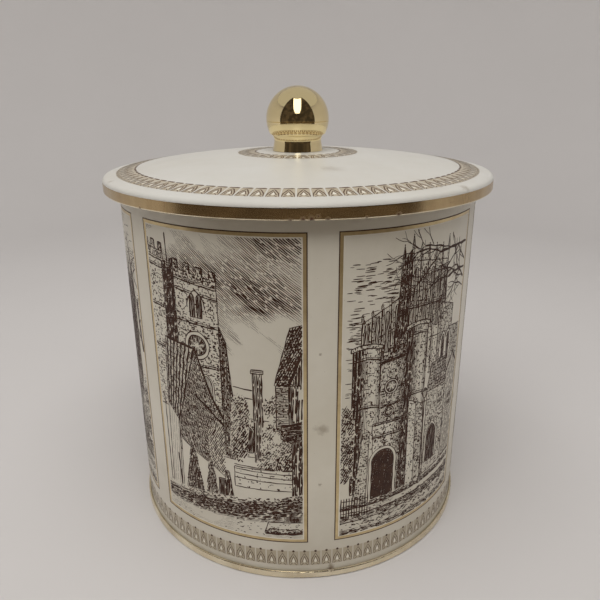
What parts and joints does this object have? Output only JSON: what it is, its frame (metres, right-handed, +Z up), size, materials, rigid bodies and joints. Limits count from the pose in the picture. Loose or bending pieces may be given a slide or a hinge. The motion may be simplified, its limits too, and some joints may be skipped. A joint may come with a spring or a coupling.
{
  "type": "coffee tin",
  "caption": "Round printed tinplate canister with a lift-off domed lid, gold hemmed skirt and a gold ball knob; a ring under the lid plugs the mouth.",
  "frame": {"origin": "centre of the base rim, on the surface that the tin stands on", "axes": "+Z up along the tin's axis, -Y the front with the two full picture panels, the side seam at the back"},
  "size_m": [0.1628, 0.1628, 0.1859],
  "materials": {
    "body_enamel": "satin off-white stoved enamel with sepia printed panels over tinplate",
    "lid_enamel": "satin cream-white stoved enamel with a sepia border; gold lacquer on the skirt",
    "gold_lacquer": "transparent gold lacquer over bright tinplate, lightly worn",
    "bare_tinplate": "bright plain tinplate, drawn and slightly scratched",
    "knob_gold": "vacuum-metallised gold moulded plastic, mirror gloss",
    "brass": "turned and knurled brass",
    "zinc_steel": "zinc-plated steel",
    "sealing_compound": "matt can-lining compound"
  },
  "bodies": {
    "tin": {"body_wall": "body_enamel", "base_end": "gold_lacquer", "seam_compound": "sealing_compound"},
    "lid": {"lid_top": "lid_enamel", "lid_plug": "bare_tinplate", "knob_upper_shell": "knob_gold", "knob_lower_shell": "knob_gold", "knob_insert": "brass", "knob_screw": "zinc_steel", "screw_washer": "zinc_steel"}
  },
  "joints": [
    {"name": "lid_lift", "type": "slide", "parent": "tin", "child": "lid", "axis": [0, 0, 1], "range_m": [0, 0.08]}
  ]
}
